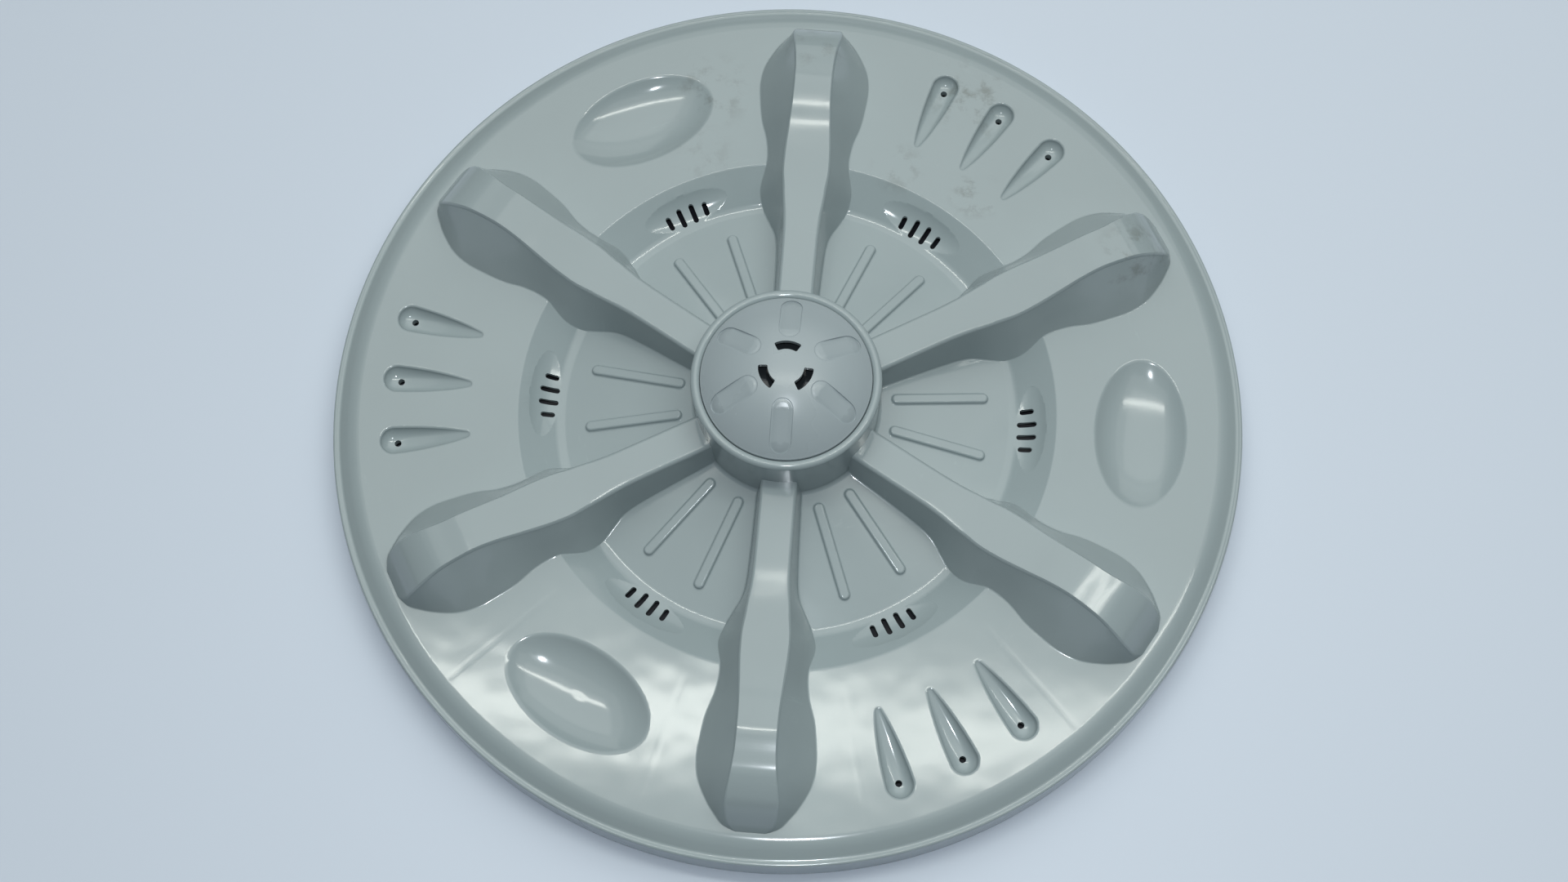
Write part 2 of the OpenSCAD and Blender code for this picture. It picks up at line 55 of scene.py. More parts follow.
# Plate, in millimetres
RING_Z = 22.4
WALL = 3.0
RIM_W = 9.4
VALLEY_Z = 18.5
STEP_R = 120.0
TROUGH_R = 102.0
TROUGH_Z = 12.4
FLOOR_HUB_Z = 23.3
CREASE_R = PLATE_R - RIM_W
SKIRT_DRAFT = 0.5
SKIRT_CHAMFER = 0.5
TOWER_FOOT_FILLET = 2
TROUGH_FILLET = 8.4
STEP_FILLET = 2.5
CREASE_FILLET = 12
# Radii of the underside's corners, from the tower to the skirt
UNDER_RADII = [0, 3, TROUGH_FILLET + WALL, 0, 4, 2, 0]
# The rim's bead: distance in from the rim, height above the valley, radius
RIM_BEAD = [(2.9, -0.1, 2.0), (1.3, 0.65, 1.2), (0.3, 0.3, 0.7)]

# Hub, in millimetres
HUB_R = 40.7
HUB_TOP_Z = 59.8
BEAD_R = 2.05
BEAD_MID_R = 39.3
TOWER_IN_R = BEAD_MID_R - BEAD_R
BOSS_R = 15.0
BOSS_TOP_Z = 64.0
BOSS_CHAMFER = 0.8
BOSS_LIP_T = 4.0
PILOT_R = 7.2
SCREW_RECESS_R = 8.5
SCREW_RECESS_DEPTH = 8.0
SCREW_HOLE_R = 3.5
WEB_T = 2.5
INSERT_GAP = 0.05
POCKET_TOP_Z = insert_high.z / MM
POCKET_FOOT_Z = insert_low.z / MM
POCKET_R = insert_high.x / MM + INSERT_GAP
BOSS_FOOT_Z = POCKET_FOOT_Z - BOSS_LIP_T

# Cap, in millimetres
CAP_R = 53.3
CAP_WALL = 2.4
CAP_SEAT_GAP = 0.08
CAP_EDGE_ROUND = 0.4
CAP_LIP_DEPTH = 1.6
CAP_LIP_RAMP = 0.4
SLOT_IN_R = 7.8
SLOT_OUT_R = 11.9
SLOT_HALF_ANGLE = 30.0
SLOT_CORNER_R = 0.7
RECESS_IN_R = 13.6
RECESS_OUT_R = 35.2
RECESS_HALF_W = 4.7
RECESS_IN_DEPTH = 0.2
RECESS_OUT_DEPTH = 1.1
RECESS_FILLET = 0.5
RECESS_CROWN = 0.32


def unit(v):
    return v / np.linalg.norm(v)


def rounded(path, step_deg=6.0):
    """Points of a path of (x, y, radius) whose corners are rounded."""
    out = []
    for i, (x, y, radius) in enumerate(path):
        b = np.array([x, y], float)
        if radius <= 0:
            out.append(b)
            continue
        u = unit(np.array(path[i - 1][:2], float) - b)
        w = unit(np.array(path[i + 1][:2], float) - b)
        half = math.acos(max(-1.0, min(1.0, float(u @ w)))) / 2
        mid = b + unit(u + w) * radius / math.sin(half)
        start = b + u * radius / math.tan(half) - mid
        stop = b + w * radius / math.tan(half) - mid
        turn = math.pi - 2 * half
        side = math.copysign(1.0, start[0] * stop[1] - start[1] * stop[0])
        steps = max(2, math.ceil(math.degrees(turn) / step_deg))
        for k in range(steps + 1):
            t = side * turn * k / steps
            c, s = math.cos(t), math.sin(t)
            out.append(mid + np.array([start[0] * c - start[1] * s, start[0] * s + start[1] * c]))
    return out


def make_object(name, points, faces):
    mesh = bpy.data.meshes.new(name)
    mesh.from_pydata([tuple(float(c) * MM for c in p) for p in points], [], faces)
    mesh.validate()
    obj = bpy.data.objects.new(name, mesh)
    bpy.context.scene.collection.objects.link(obj)
    return obj


def revolve(name, profile, segments):
    """Closed solid of revolution from a closed profile of (r, z)."""
    n = len(profile)
    angles = [2 * math.pi * k / segments for k in range(segments)]
    points = [(p[0] * math.cos(a), p[0] * math.sin(a), p[1]) for a in angles for p in profile]
    faces = []
    for k in range(segments):
        m = (k + 1) % segments
        for i in range(n):
            j = (i + 1) % n
            faces.append((k * n + i, m * n + i, m * n + j, k * n + j))
    obj = make_object(name, points, faces)
    if any(p[0] == 0 for p in profile):
        close_poles(obj)
    return obj


def close_poles(obj):
    """Join the vertices that a profile's points on the axis gave."""
    bm = bmesh.new()
    bm.from_mesh(obj.data)
    poles = [v for v in bm.verts if math.hypot(v.co.x, v.co.y) < 1e-7]
    bmesh.ops.remove_doubles(bm, verts=poles, dist=1e-7)
    bm.to_mesh(obj.data)
    bm.free()


def loft(name, sections):
    """Closed solid through sections with the same number of points each."""
    n = len(sections[0])
    m = len(sections)
    points = [p for s in sections for p in s]
    faces = []
    for i in range(m - 1):
        for j in range(n):
            k = (j + 1) % n
            faces.append((i * n + j, i * n + k, (i + 1) * n + k, (i + 1) * n + j))
    faces.append(tuple(reversed(range(n))))
    faces.append(tuple((m - 1) * n + j for j in range(n)))
    return make_object(name, points, faces)


def turned(obj, degrees):
    """A copy of obj turned about the drive axis."""
    copy = bpy.data.objects.new(obj.name, obj.data.copy())
    copy.data.transform(Matrix.Rotation(math.radians(degrees), 4, "Z"))
    bpy.context.scene.collection.objects.link(copy)
    return copy


def around(obj, angles):
    """Copies of obj at the angles, joined into one object. The original goes."""
    copies = [turned(obj, a) for a in angles]
    bpy.data.objects.remove(obj)
    return join(copies)


def join(objects):
    """The meshes of all the objects in the first one. The others go."""
    bm = bmesh.new()
    for o in objects:
        bm.from_mesh(o.data)
    joined = objects[0]
    bm.to_mesh(joined.data)
    bm.free()
    for o in objects[1:]:
        bpy.data.objects.remove(o)
    return joined


def face_outwards(obj):
    """Turn all faces of a closed solid outwards."""
    bm = bmesh.new()
    bm.from_mesh(obj.data)
    bmesh.ops.recalc_face_normals(bm, faces=bm.faces)
    bm.to_mesh(obj.data)
    bm.free()


def combine(base, tool, operation):
    """Boolean of two closed solids, applied to base. The tool goes."""
    face_outwards(tool)
    mod = base.modifiers.new("combine", "BOOLEAN")
    mod.operation = operation
    mod.solver = "MANIFOLD"
    mod.object = tool
    bpy.context.view_layer.update()
    depsgraph = bpy.context.evaluated_depsgraph_get()
    mesh = bpy.data.meshes.new_from_object(base.evaluated_get(depsgraph))
    base.modifiers.clear()
    base.data = mesh
    bpy.data.objects.remove(tool)


# Surface heights of the plate's upper face, by distance from the axis
SURFACE_R = [HUB_R, TROUGH_R, STEP_R, PLATE_R]
SURFACE_Z = [FLOOR_HUB_Z, TROUGH_Z, RING_Z, RING_Z]


def surface_z(r):
    """Height of the plate's upper face at the distance r, its corners not rounded."""
    return float(np.interp(r, SURFACE_R, SURFACE_Z))


def shifted(path, d):
    """An open path moved sideways by d, with mitred corners."""
    out = []
    for i, p in enumerate(path):
        normals = []
        for a, b in ((i - 1, i), (i, i + 1)):
            if a >= 0 and b < len(path):
                v = unit(np.array(path[b]) - np.array(path[a]))
                normals.append(np.array([-v[1], v[0]]))
        first, last = normals[0], normals[-1]
        out.append(np.array(p) + d * (first + last) / (1 + first @ last))
    return out


UPPER_PATH = [
    (HUB_R, HUB_TOP_Z - BEAD_R),
    (HUB_R, FLOOR_HUB_Z),
    (TROUGH_R, TROUGH_Z),
    (STEP_R, RING_Z),
    (CREASE_R, RING_Z),
    (PLATE_R - SKIRT_DRAFT, VALLEY_Z),
    (PLATE_R, 0.0),
]
LOWER_PATH = shifted(UPPER_PATH, -WALL)


def moulding_profile():
    """Closed profile of the plate: bead, upper face, underside and the tower's inside."""
    steps = 18
    proud = HUB_R - BEAD_MID_R
    stop = -math.degrees(math.acos(proud / BEAD_R))
    bead = []
    for k in range(steps + 1):
        t = math.radians(180 + (stop - 180) * k / steps)
        bead.append((BEAD_MID_R + BEAD_R * math.cos(t), HUB_TOP_Z - BEAD_R + BEAD_R * math.sin(t)))
    rim = [(PLATE_R - inset, VALLEY_Z + rise, radius) for inset, rise, radius in RIM_BEAD]
    tower_wall = (HUB_R, FLOOR_HUB_Z + 20, 0)
    upper = rounded([
        tower_wall,
        (HUB_R, FLOOR_HUB_Z, TOWER_FOOT_FILLET),
        (TROUGH_R, TROUGH_Z, TROUGH_FILLET),
        (STEP_R, RING_Z, STEP_FILLET),
        (CREASE_R, RING_Z, CREASE_FILLET),
        *rim,
        (PLATE_R, SKIRT_CHAMFER, 0),
        (PLATE_R - SKIRT_CHAMFER, 0, 0),
    ])
    lower = rounded([(p[0], p[1], radius) for p, radius in zip(LOWER_PATH, UNDER_RADII)])[1:]
    lower[-1] = np.array([lower[-1][0], 0.0])
    lower.reverse()
    inner = [(HUB_R - WALL, DECK_Z - WALL / 2), (TOWER_IN_R, DECK_Z - WALL / 2)]
    return bead + upper + lower + inner


# Vanes: place along the vane, half width of the top, height of the top above
# the ring and half width of the foot. Place 0 is the hub, 1 the step, 2 the end.
VANE_END_GAP = 3.8
VANE_END_R = CREASE_R - VANE_END_GAP
VANE_ROWS = np.array([
    [0.00, 7.8, 17.3, 9.6],
    [0.45, 8.0, 17.3, 10.8],
    [0.57, 8.4, 17.0, 12.2],
    [0.67, 9.0, 16.8, 16.1],
    [0.75, 9.5, 16.9, 19.1],
    [0.85, 10.1, 17.4, 20.8],
    [1.00, 9.9, 19.0, 18.5],
    [1.15, 9.0, 20.9, 19.5],
    [1.29, 8.1, 23.3, 22.5],
    [1.43, 7.8, 24.7, 24.1],
    [1.57, 7.9, 23.7, 24.9],
    [1.70, 9.0, 22.4, 23.4],
    [1.83, 10.6, 17.7, 18.9],
    [1.90, 10.7, 12.4, 15.3],
    [1.96, 9.6, 5.1, 11.5],
    [2.00, 5.8, -0.6, 5.9],
])


def vane_curve(s, column):
    """Smooth curve through one column of VANE_ROWS, at place s."""
    x = VANE_ROWS[:, 0]
    y = VANE_ROWS[:, column]
    last = len(x) - 1
    i = int(np.clip(np.searchsorted(x, s, side="right") - 1, 0, last - 1))

    def slope(k):
        a, b = max(k - 1, 0), min(k + 1, last)
        return (y[b] - y[a]) / (x[b] - x[a])

    h = x[i + 1] - x[i]
    t = (s - x[i]) / h
    return (
        (2 * t**3 - 3 * t**2 + 1) * y[i]
        + (t**3 - 2 * t**2 + t) * h * slope(i)
        + (3 * t**2 - 2 * t**3) * y[i + 1]
        + (t**3 - t**2) * h * slope(i + 1)
    )


def place_r(s):
    """Distance from the axis at place s along a vane."""
    if s < 1:
        return HUB_R + s * (STEP_R - HUB_R)
    return STEP_R + (s - 1) * (VANE_END_R - STEP_R)


def vane_shape(s):
    """Top height, foot height, half top width and draft of a vane at place s."""
    top = RING_Z + vane_curve(s, 2)
    foot = surface_z(math.hypot(place_r(s), vane_curve(s, 3)))
    half_top = vane_curve(s, 1)
    draft = (vane_curve(s, 3) - half_top) / max(0.5, top - foot)
    return top, foot, half_top, draft


VANE_EDGE_R = 1.9
FOOT_FLARE = 1.2
# How far a vane's foot flare is drawn out sideways and upwards
FLARE_OUT = 0.9
FLARE_UP = 0.8
ARC_STEPS = 5


def vane_section(s, r):
    """Half outline from the foot to the middle of the top, mirrored."""
    top, foot, half_top, draft = vane_shape(s)
    tall = max(0.2, top - foot)
    edge = min(VANE_EDGE_R, tall / 3)
    flare = min(FOOT_FLARE, tall / 4)
    lean = math.atan(draft)
    wall = lambda z: half_top + (top - z) * draft

    # Under the surface, then the flare, the wall and the rounded edge
    half = [(wall(foot) + flare, foot - WALL / 2), (wall(foot) + flare * 1.05, foot - 0.05)]
    for k in range(1, ARC_STEPS):
        t = (math.pi / 2 - lean) * k / ARC_STEPS
        run = flare * (1 - math.sin(t) / math.cos(lean) * 0.98)
        half.append((wall(foot) + max(run, 0) * FLARE_OUT, foot + flare * (1 - math.cos(t)) * FLARE_UP))
    for k in range(1, ARC_STEPS + 1):
        z = foot + flare + (top - edge - foot - flare) * k / ARC_STEPS
        half.append((wall(z), z))
    for k in range(1, ARC_STEPS + 1):
        t = (math.pi / 2 - lean) * k / ARC_STEPS
        half.append((wall(top - edge) - edge * (1 - math.cos(t)), top - edge + edge * math.sin(t)))

    # The edge's last two points are lifted to meet the flat top
    crest = half[-1]
    rest = top - crest[1]
    half[-1] = (crest[0], top)
    half[-2] = (half[-2][0], half[-2][1] + rest * 0.8)
    for share in (0.75, 0.5, 0.25):
        half.append((crest[0] * share, top))
    left = [(r, -w, z) for w, z in half]
    right = [(r, w, z) for w, z in reversed(half)]
    return left + [(r, 0.0, top)] + right


NOSE_START = 1.7
NOSE_LENGTH = 0.3
HOLLOW_START = 0.04
HOLLOW_END = 1.92


def vane_places():
    """Places of a vane's sections, closer together towards the end of its nose."""
    inner = list(np.linspace(0, NOSE_START, 70))
    nose = list(2 - NOSE_LENGTH * np.linspace(1, 0, 34)[1:] ** 1.3)
    return inner + nose


def vane_body():
    sections = [vane_section(0, HUB_R - 0.6 * WALL)]
    sections += [vane_section(s, place_r(s)) for s in vane_places() if s > 0]
    return loft("vane", sections)


def vane_hollow():
    """Room inside a vane, which leaves a wall of even thickness."""
    sections = []
    for s in np.linspace(HOLLOW_START, HOLLOW_END, 60):
        r = place_r(s)
        top, _, half_top, draft = vane_shape(s)
        ds = 0.01
        fall = (vane_shape(s + ds)[0] - vane_shape(s - ds)[0]) / (place_r(s + ds) - place_r(s - ds))
        roof = top - WALL * math.hypot(1, fall)
        floor = surface_z(r) - 2 * WALL - 1
        side = WALL * math.hypot(1, draft)
        wide = half_top + (top - floor) * draft - side
        narrow = half_top + (top - roof) * draft - side
        sections.append([(r, -wide, floor), (r, -narrow, roof), (r, narrow, roof), (r, wide, floor)])
    return loft("vane_hollow", sections)


# Floor details, in millimetres
FLOOR_RIB_MID_R = 68.5
FLOOR_RIB_LEN = 44.0
FLOOR_RIB_W = 4.6
FLOOR_RIB_H = 1.7
FLOOR_RIB_ANGLE = 17.6
SLIT_MID_R = 107.4
SLIT_LONG = 8.6
SLIT_SHORT = 6.2
SLIT_W = 2.4
SLIT_PITCH = 3.2
DISH_LEN = 38.2
DISH_W = 19.0
DISH_DEPTH = 2.8
DISH_BOW = 2.2
# Where a dish starts and ends across the slope, as shares of its width
DISH_INNER_SHARE = 0.49
DISH_OUTER_SHARE = 0.45

# Ring details, in millimetres
OVAL_MID_R = 157.2
OVAL_LEN = 69.2
OVAL_W = 40.2
OVAL_DEPTH = 6.2
OVAL_LIP = 1.1
OVAL_TURNS = [2 * math.pi * k / 96 for k in range(96)]
# Depth in which a cut ends below the surface that it meets
SKIN = 0.004
DRAIN_MID_R = 174.0
DRAIN_R = 1.5
SCOOP_MID_R = DRAIN_MID_R + 1.2
SCOOP_R = 5.9
SCOOP_LEN = 39.8
SCOOP_PITCH = 9.6
SCOOP_DEPTH = 4.8
SCOOP_TIP_R = 1.3
SCOOP_BULGE = 0.8
SCOOP_LIP = 1.0
SCOOP_REACH = SCOOP_LEN - SCOOP_R - SCOOP_TIP_R

# Underside, in millimetres
RIB_T = 2.5
RIB_FOOT_Z = 2.0
RIB_PITCH = 30
RING_RIB_R = 130.0
# How far joined pieces reach into one another, and cuts past a surface
OVERLAP = 0.8

VANE_ANGLES = [30 + 60 * k for k in range(6)]
SECTOR_ANGLES = [60 * k for k in range(6)]
SCOOP_ANGLES = [60 + 120 * k + SCOOP_PITCH * side for k in range(3) for side in (-1, 0, 1)]
OVAL_ANGLES = [0, 120, 240]
RIB_ANGLES = [RIB_PITCH / 2 + RIB_PITCH * k for k in range(12)]


def slot_outline(length, width, steps=14):
    """Outline with round ends, its length along x."""
    half = (length - width) / 2
    points = []
    for centre, start in ((half, -90), (-half, 90)):
        for k in range(steps + 1):
            a = math.radians(start + 180 * k / steps)
            points.append((centre + width / 2 * math.cos(a), width / 2 * math.sin(a)))
    return points


def prism(name, outline, low, high):
    return loft(name, [[(x, y, z) for x, y in outline] for z in (low, high)])


def floor_rib():
    """Rib with round ends and a soft foot, laid on the slope of the floor."""
    levels = [(-0.6, -WALL / 2), (-0.6, 0.02), (-0.3, 0.10), (-0.08, 0.3), (0.04, 0.6)]
    levels += [
        (1.04 - math.cos(math.radians(a)), FLOOR_RIB_H - 1 + math.sin(math.radians(a)))
        for a in (18, 36, 54, 72, 90)
    ]
    rings = [
        [(x, y, z) for x, y in slot_outline(FLOOR_RIB_LEN - 2 * inset, FLOOR_RIB_W - 2 * inset)]
        for inset, z in levels
    ]
    rib = loft("floor_rib", rings)
    slope = math.atan((FLOOR_HUB_Z - TROUGH_Z) / (TROUGH_R - HUB_R))
    foot = Vector((FLOOR_RIB_MID_R, 0, surface_z(FLOOR_RIB_MID_R))) * MM
    rib.data.transform(Matrix.Translation(foot) @ Matrix.Rotation(slope, 4, "Y"))
    return rib


def slit_dish():
    """Shallow dish in the slope: an arc across it, carried along a bow."""
    half_w, half_len = DISH_W / 2, DISH_LEN / 2
    section_r = (half_w**2 + DISH_DEPTH**2) / (2 * DISH_DEPTH)
    bow_r = (half_len**2 + DISH_BOW**2) / (2 * DISH_BOW)
    inner_r = SLIT_MID_R - DISH_INNER_SHARE * DISH_W
    outer_r = SLIT_MID_R + DISH_OUTER_SHARE * DISH_W
    inner = np.array([inner_r, surface_z(inner_r)])
    outer = np.array([outer_r, surface_z(outer_r)])
    along = unit(outer - inner)
    up = np.array([-along[1], along[0]])
    centre = (inner + outer) / 2 + (section_r - DISH_DEPTH) * up
    half_angle = math.asin(half_w / section_r) + math.radians(8)
    sections = []
    for k in range(-24, 25):
        y = 1.06 * half_len * k / 24
        r = section_r - bow_r + math.sqrt(bow_r**2 - y**2)
        row = []
        for i in range(-10, 11):
            a = half_angle * i / 10
            p = centre + r * (math.sin(a) * along - math.cos(a) * up)
            row.append((p[0], y, p[1]))
        sections.append(row)
    return loft("slit_dish", sections)


def slits():
    """Four slits side by side, the two inner ones longer."""
    low, high = TROUGH_Z - 13, TROUGH_Z + 13
    parts = []
    for k in (-1.5, -0.5, 0.5, 1.5):
        length = SLIT_LONG if abs(k) < 1 else SLIT_SHORT
        slit = prism("slit", slot_outline(length, SLIT_W), low, high)
        slit.data.transform(Matrix.Translation(Vector((SLIT_MID_R, 0, 0)) * MM))
        parts.append(turned(slit, k * SLIT_PITCH))
        bpy.data.objects.remove(slit)
    return join(parts)


def teardrop_outline(inset):
    """Outline of a scoop moved inwards: round at both ends, wide at the outer one."""
    taper = (SCOOP_R - SCOOP_TIP_R) / SCOOP_REACH
    wide = SCOOP_R - inset
    least = 0.04
    tip = max(SCOOP_TIP_R - inset, least)
    reach = SCOOP_REACH if SCOOP_TIP_R - inset > least else (wide - tip) / taper
    turn = math.pi / 2 + math.asin(taper)
    points = [(wide * math.cos(a), wide * math.sin(a)) for a in np.linspace(-turn, turn, 25)]
    tip_arc = [(tip * math.cos(a) - reach, tip * math.sin(a))
               for a in np.linspace(turn, 2 * math.pi - turn, 9)]
    for a, b in ((points[-1], tip_arc[0]), (tip_arc[-1], points[0])):
        outwards = math.copysign(SCOOP_BULGE, a[1] + b[1])
        for t in np.linspace(0, 1, 12)[1:-1]:
            bulge = outwards * 4 * t * (1 - t)
            points.append((a[0] + (b[0] - a[0]) * t, a[1] + (b[1] - a[1]) * t + bulge))
        if b == tip_arc[0]:
            points += tip_arc
    return points


LIP_TURN = 0.85
LIP_DEPTH = 1.1


def lip_drop(lip, share):
    """Drop of a rolled lip at the share of its width, from flat at 0."""
    return lip * (1 - math.sqrt(max(0.0, 1 - (LIP_TURN * share) ** 2))) * LIP_DEPTH


def scoop_z(x, inset):
    """Height of a scoop's surface below the ring. Its floor climbs to the tip."""
    along = min(1.0, max(0.0, 1 + x / (SCOOP_REACH + SCOOP_TIP_R)))
    depth = SCOOP_DEPTH * (0.05 + 0.95 * math.sin(math.pi / 2 * along ** 0.95))
    lip = min(1.0, 0.55 * depth)
    if inset <= 0:
        return -lip_drop(lip, 1 + inset / SCOOP_LIP)
    half = SCOOP_R - (SCOOP_R - SCOOP_TIP_R) * min(1.0, max(0.0, -x / SCOOP_REACH))
    q = min(1.0, inset / half)
    top = lip_drop(lip, 1)
    return -top - max(0.0, depth - top) * (1 - (1 - q) ** 2.5) ** 0.55


def scoop():
    """Hollow of a scoop, from rings of its outline moved inwards step by step."""
    insets = [-SCOOP_LIP * f for f in (1.0, 0.75, 0.5, 0.25, 0.0)]
    insets += [0.08, 0.25, 0.55, 0.95, 1.5, 2.2, 3.0, 3.9, 4.8, 5.5]
    first = teardrop_outline(insets[0])
    rings = [[(x + SCOOP_MID_R, y, RING_Z + OVERLAP) for x, y in first]]
    for inset in insets:
        ring = teardrop_outline(inset)
        rings.append([(x + SCOOP_MID_R, y, RING_Z + scoop_z(x, inset) - SKIN) for x, y in ring])
    return loft("scoop", rings)


def scoop_shell():
    """Skin of the underside round a scoop."""
    r = SCOOP_R + WALL - 2 * OVERLAP
    length = SCOOP_LEN - SCOOP_R + WALL
    z = RING_Z - 2 * OVERLAP
    arc = [math.radians(a) for a in np.linspace(90, -90, 11)]
    flank = [(-length * (1 - t), r * (1.18 * t - 0.18 * t**3)) for t in np.linspace(0.02, 1, 14)]
    end = [(r * math.sin(math.radians(a)), r * math.cos(math.radians(a))) for a in range(12, 89, 12)]
    sections = []
    for x, w in flank + end:
        row = [(SCOOP_MID_R + x, w * math.sin(a), z - w * math.cos(a)) for a in arc]
        row += [(SCOOP_MID_R + x, -w, RING_Z - OVERLAP), (SCOOP_MID_R + x, w, RING_Z - OVERLAP)]
        sections.append(row)
    return loft("scoop_shell", sections)


def drain():
    circle = slot_outline(2 * DRAIN_R + 0.001, 2 * DRAIN_R)
    hole = prism("drain", circle, 0, RING_Z)
    hole.data.transform(Matrix.Translation(Vector((DRAIN_MID_R, 0, 0)) * MM))
    return hole


def bowl_share(q):
    """Share of its depth that a bowl has lost at the share q of its half width."""
    return 0.65 * q**2 + 0.35 * q**5


# Slope of bowl_share at the bowl's edge
OVAL_EDGE_STEEPNESS = 3.05


def oval_hollow():
    """Bowl under an oval outline, with a rolled lip where it meets the ring."""
    half_r, half_t = OVAL_W / 2, OVAL_LEN / 2

    def bowl_z(q):
        return -OVAL_DEPTH * (1 - bowl_share(q))

    rings = []
    for q in np.linspace(0.08, 1 - 1.4 * OVAL_LIP / half_r, 15):
        rings.append([(OVAL_MID_R + half_r * q * math.cos(a), half_t * q * math.sin(a), bowl_z(q))
                      for a in OVAL_TURNS])
    for off in OVAL_LIP * np.linspace(-1, 1, 7):
        ring = []
        for a in OVAL_TURNS:
            spread = math.hypot(half_t * math.cos(a), half_r * math.sin(a))
            normal = (half_t * math.cos(a) / spread, half_r * math.sin(a) / spread)
            reach = half_r * half_t / spread
            steep = OVAL_DEPTH * OVAL_EDGE_STEEPNESS / reach
            z = bowl_z(1 + min(0, off) / reach) - steep * (OVAL_LIP - abs(off)) ** 2 / (4 * OVAL_LIP)
            ring.append((OVAL_MID_R + half_r * math.cos(a) + off * normal[0],
                         half_t * math.sin(a) + off * normal[1], z - SKIN))
        rings.append(ring)
    rings.append([(x, y, OVERLAP) for x, y, _ in rings[-1]])
    return loft("oval", [[(x, y, z + RING_Z) for x, y, z in ring] for ring in rings])


def oval_shell():
    """Skin of the underside round an oval, closed inside the ring's wall."""
    half_r, half_t = OVAL_W / 2 + WALL, OVAL_LEN / 2 + WALL
    depth = OVAL_DEPTH + WALL
    bowl = [(q, -depth * (1 - bowl_share(q))) for q in np.linspace(0.12, 1, 18)]
    rings = [(q, z) for q, z in bowl if z < -OVERLAP] + [(1, -OVERLAP)]
    points = [(OVAL_MID_R, 0, RING_Z - depth)]
    for q, z in rings:
        for a in OVAL_TURNS:
            points.append((OVAL_MID_R + half_r * q * math.cos(a), half_t * q * math.sin(a), RING_Z + z))
    n = len(OVAL_TURNS)
    faces = [(0, 1 + k, 1 + (k + 1) % n) for k in range(n)]
    for i in range(len(rings) - 1):
        low, high = 1 + i * n, 1 + (i + 1) * n
        for k in range(n):
            m = (k + 1) % n
            faces.append((low + k, low + m, high + m, high + k))
    last = 1 + (len(rings) - 1) * n
    faces.append(tuple(last + k for k in range(n)))
    return make_object("oval_shell", points, faces)


def hub_core():
    """The boss and the deck that closes the tower."""
    deck_r = HUB_R - WALL / 2
    profile = [
        (0, BOSS_FOOT_Z),
        (BOSS_R, BOSS_FOOT_Z),
        (BOSS_R, DECK_Z - WALL),
        (deck_r, DECK_Z - WALL),
        (deck_r, DECK_Z),
        (BOSS_R, DECK_Z),
        (BOSS_R, BOSS_TOP_Z - BOSS_CHAMFER),
        (BOSS_R - BOSS_CHAMFER, BOSS_TOP_Z),
        (0, BOSS_TOP_Z),
    ]
    return revolve("hub_core", profile, 120)


def hub_web():
    """One web between the boss and the tower, under the deck."""
    low, high = BOSS_FOOT_Z + 4, DECK_Z - WALL / 2
    near, far, half = BOSS_R - OVERLAP, HUB_R - WALL / 2, WEB_T / 2
    return prism("web", [(near, -half), (far, -half), (far, half), (near, half)], low, high)


def hub_bores():
    """The shaft's way in, the insert's pocket, and the screw's hole and recess."""
    recess_z = BOSS_TOP_Z - SCREW_RECESS_DEPTH
    profile = [
        (0, BOSS_FOOT_Z - 1),
        (PILOT_R, BOSS_FOOT_Z - 1),
        (PILOT_R, POCKET_FOOT_Z),
        (POCKET_R, POCKET_FOOT_Z),
        (POCKET_R, POCKET_TOP_Z),
        (SCREW_HOLE_R, POCKET_TOP_Z),
        (SCREW_HOLE_R, recess_z),
        (SCREW_RECESS_R, recess_z),
        (SCREW_RECESS_R, BOSS_TOP_Z + 1),
        (0, BOSS_TOP_Z + 1),
    ]
    return revolve("hub_bores", profile, 96)


def underside_rib():
    """Radial rib, from the foot of the tower to the skirt."""
    body = [(p[0], p[1] + OVERLAP) for p in LOWER_PATH[1:6]]
    inner = body[0][0] - OVERLAP
    outline = [(inner, RIB_FOOT_Z), (inner, body[0][1])] + body + [(PLATE_R - WALL + OVERLAP, RIB_FOOT_Z)]
    sides = [[(x, y, z) for x, z in outline] for y in (-RIB_T / 2, RIB_T / 2)]
    return loft("rib", sides)


def ring_rib():
    low, high = RIB_FOOT_Z, RING_Z - WALL + OVERLAP
    inner, outer = RING_RIB_R - RIB_T / 2, RING_RIB_R + RIB_T / 2
    return revolve("ring_rib", [(inner, low), (outer, low), (outer, high), (inner, high)], 240)


def build_plate():
    plate = revolve("wash_plate_moulding", moulding_profile(), 300)
    face_outwards(plate)
    for tool in (
        hub_core(),
        around(hub_web(), SECTOR_ANGLES),
        around(vane_body(), VANE_ANGLES),
        around(floor_rib(), [a + FLOOR_RIB_ANGLE / 2 * side for a in SECTOR_ANGLES for side in (-1, 1)]),
        around(scoop_shell(), SCOOP_ANGLES),
        around(oval_shell(), OVAL_ANGLES),
    ):
        combine(plate, tool, "UNION")
    for tool in (
        around(vane_hollow(), VANE_ANGLES),
        around(slit_dish(), SECTOR_ANGLES),
        around(slits(), SECTOR_ANGLES),
        around(scoop(), SCOOP_ANGLES),
        around(drain(), SCOOP_ANGLES),
        around(oval_hollow(), OVAL_ANGLES),
        hub_bores(),
    ):
        combine(plate, tool, "DIFFERENCE")
    combine(plate, around(underside_rib(), RIB_ANGLES), "UNION")
    combine(plate, ring_rib(), "UNION")
    return plate


# Cap
CAP_MID_Z = CAP_TOP_Z - CAP_R


def dome_z(r):
    return CAP_MID_Z + math.sqrt(CAP_R**2 - r**2)


